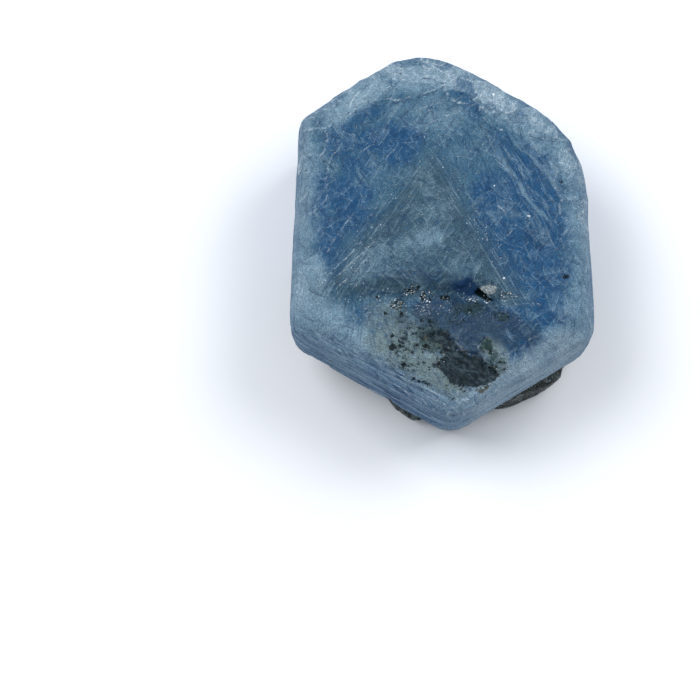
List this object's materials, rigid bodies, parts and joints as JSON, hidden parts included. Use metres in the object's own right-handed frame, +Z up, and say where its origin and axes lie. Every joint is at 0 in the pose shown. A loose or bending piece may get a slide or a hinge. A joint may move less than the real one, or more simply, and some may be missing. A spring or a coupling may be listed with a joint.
{
  "type": "sapphire crystal",
  "caption": "Rough six-sided sapphire crystal with a raised growth triangle on top, banded sides and dark mica rock clinging under its broken base.",
  "frame": {"origin": "under the middle of the outline, in the plane that it rests on", "axes": "+Z up along the crystal's main axis to its growth face; -Y towards the ledge and the dark patch; +X to the right of them"},
  "size_m": [0.0178, 0.0218, 0.0105],
  "materials": {
    "sapphire": "satin, silky blue, cloudy with fine light veins",
    "mica_rock": "dull, granular, with tiny glittering flakes"
  },
  "bodies": {
    "root": {"sapphire_crystal": "sapphire", "mica_crust": "mica_rock"}
  },
  "joints": []
}
